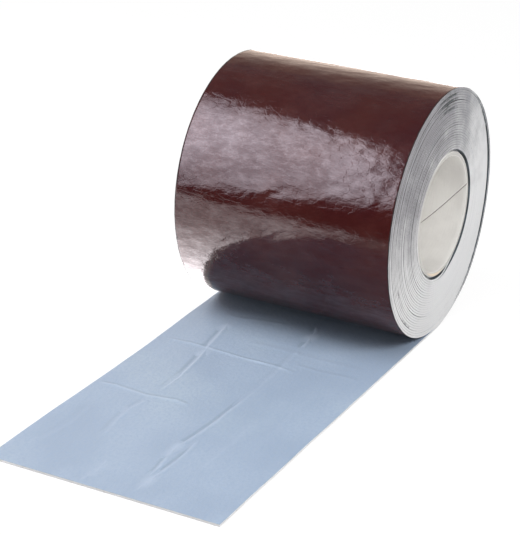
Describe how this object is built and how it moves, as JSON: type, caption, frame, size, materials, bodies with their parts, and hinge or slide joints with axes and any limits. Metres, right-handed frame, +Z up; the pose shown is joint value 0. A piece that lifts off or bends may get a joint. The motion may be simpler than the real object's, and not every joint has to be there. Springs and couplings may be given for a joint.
{
  "type": "roll of flashing tape",
  "caption": "Roll of self-adhesive bitumen flashing tape on a paperboard core, lacquered foil face outwards, lying on its side with its end unrolled flat in front, release film up.",
  "frame": {"origin": "on the roll's axis, at the middle of the tape's width; the floor the roll lies on is 82.6 mm below", "axes": "+X along the roll's axis, out of the end where the turns have crept outwards; +Y away from the unrolled tail, so that the tail lies towards -Y; +Z up"},
  "size_m": [0.1535, 0.3726, 0.1648],
  "materials": {
    "tape": "gloss",
    "release_film": "satin",
    "core": "matte"
  },
  "bodies": {
    "root": {"tape": "tape", "release_film": "release_film", "core": "core"}
  },
  "joints": []
}
